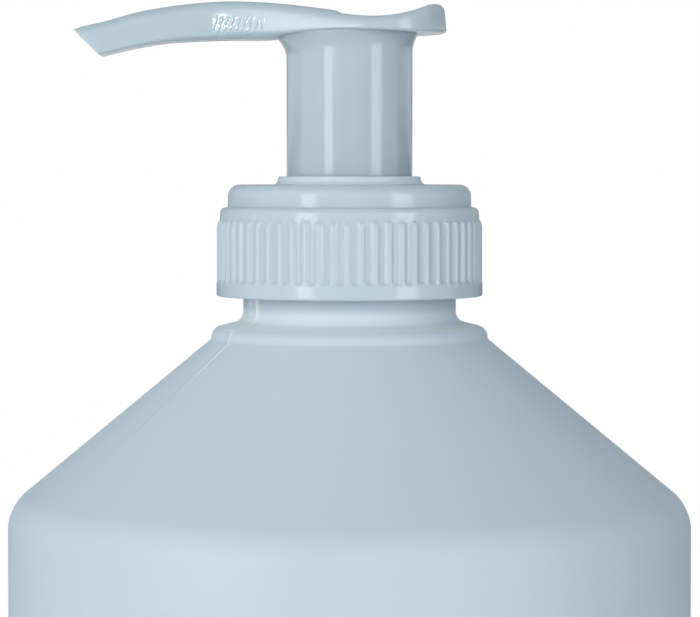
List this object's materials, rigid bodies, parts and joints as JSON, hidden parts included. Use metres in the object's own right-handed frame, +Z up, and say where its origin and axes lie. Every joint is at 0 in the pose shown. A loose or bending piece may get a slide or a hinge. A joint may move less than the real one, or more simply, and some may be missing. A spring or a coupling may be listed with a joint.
{
  "type": "pump oil bottle",
  "caption": "Round white plastic oil bottle with a conical shoulder and a screw-on lotion pump that presses, swivels and unscrews.",
  "frame": {"origin": "centre of the bottle's base, on the plane it stands on", "axes": "+Z up along the bottle's axis, the nozzle points along -X, so the picture looks along +Y"},
  "size_m": [0.084, 0.084, 0.2534],
  "materials": {
    "bottle_plastic": "satin blow-moulded polyethylene",
    "pump_plastic": "gloss moulded polypropylene",
    "engine_plastic": "natural polypropylene",
    "piston_plastic": "soft polyethylene",
    "tube_plastic": "translucent polyethylene",
    "gasket_foam": "closed-cell foam",
    "steel": "bright drawn"
  },
  "bodies": {
    "bottle": {"bottle": "bottle_plastic"},
    "pump": {"housing": "engine_plastic", "chaplet": "pump_plastic", "gasket": "gasket_foam", "dip_tube": "tube_plastic", "return_spring": "steel"},
    "closure": {"closure": "pump_plastic"},
    "plunger": {"stem": "engine_plastic", "stem_plug": "engine_plastic"},
    "head": {"actuator": "pump_plastic"},
    "piston": {"piston": "piston_plastic"},
    "ball": {"inlet_ball": "steel"}
  },
  "joints": [
    {"name": "pump_lift", "type": "slide", "parent": "bottle", "child": "pump", "axis": [0, 0, 1], "range_m": [0, 0.0053]},
    {"name": "closure_turn", "type": "hinge", "parent": "pump", "child": "closure", "pos_m": [0, 0, 0.217], "axis": [0, 0, 1], "range_deg": [0, 450]},
    {"name": "head_press", "type": "slide", "parent": "pump", "child": "plunger", "axis": [0, 0, -1], "range_m": [0, 0.014], "stiffness_N_per_m": 900, "springref_m": -0.01, "deforming": ["return_spring"]},
    {"name": "head_swivel", "type": "hinge", "parent": "plunger", "child": "head", "pos_m": [0, 0, 0.24], "axis": [0, 0, 1], "continuous": true},
    {"name": "piston_slip", "type": "slide", "parent": "plunger", "child": "piston", "axis": [0, 0, 1], "range_m": [0, 0.0012]},
    {"name": "ball_lift", "type": "slide", "parent": "pump", "child": "ball", "axis": [0, 0, 1], "range_m": [0, 0.002]}
  ],
  "couplings": [
    {"joint": "pump_lift", "follows": "closure_turn", "m_per_rad": 0.00066845}
  ]
}
